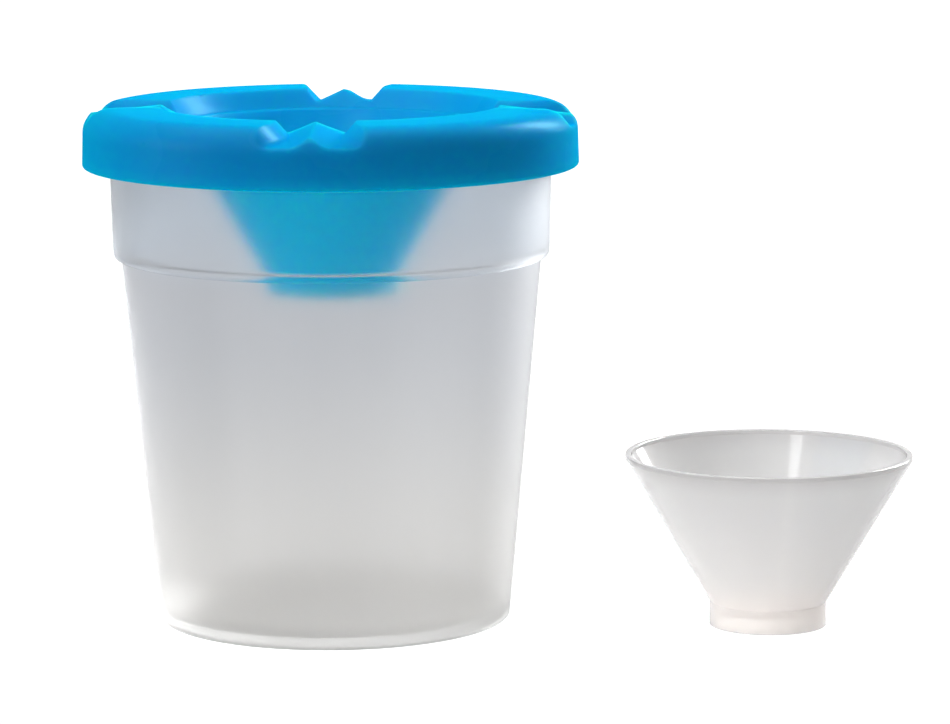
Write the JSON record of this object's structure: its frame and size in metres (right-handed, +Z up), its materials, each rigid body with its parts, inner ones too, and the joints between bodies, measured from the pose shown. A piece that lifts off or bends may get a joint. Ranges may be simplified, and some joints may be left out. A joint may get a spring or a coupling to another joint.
{
  "type": "paint cup with lid",
  "caption": "Round no-spill paint cup: a translucent tapered tumbler, a press-fit funnel lid with brush rests round its ring, and a loose clear cone that plugs the funnel.",
  "frame": {"origin": "centre of the cup's foot, on the surface that it stands on", "axes": "+Z up along the cup's axis, +X from the cup towards the side where the stopper stands, -Y towards the viewer"},
  "size_m": [0.1673, 0.1004, 0.105],
  "materials": {
    "cup": "milky translucent moulded polypropylene, satin",
    "lid": "glossy sky-blue moulded polypropylene",
    "stopper": "clear, slightly milky moulded polypropylene"
  },
  "bodies": {
    "cup": {"cup": "cup"},
    "lid": {"lid": "lid"},
    "stopper": {"stopper": "stopper"}
  },
  "joints": [
    {"name": "lid_lift", "type": "slide", "parent": "cup", "child": "lid", "axis": [0, 0, 1], "range_m": [0, 0.05]},
    {"name": "stopper_lift", "type": "slide", "parent": "cup", "child": "stopper", "axis": [0, 0, 1], "range_m": [0, 0.06]}
  ]
}
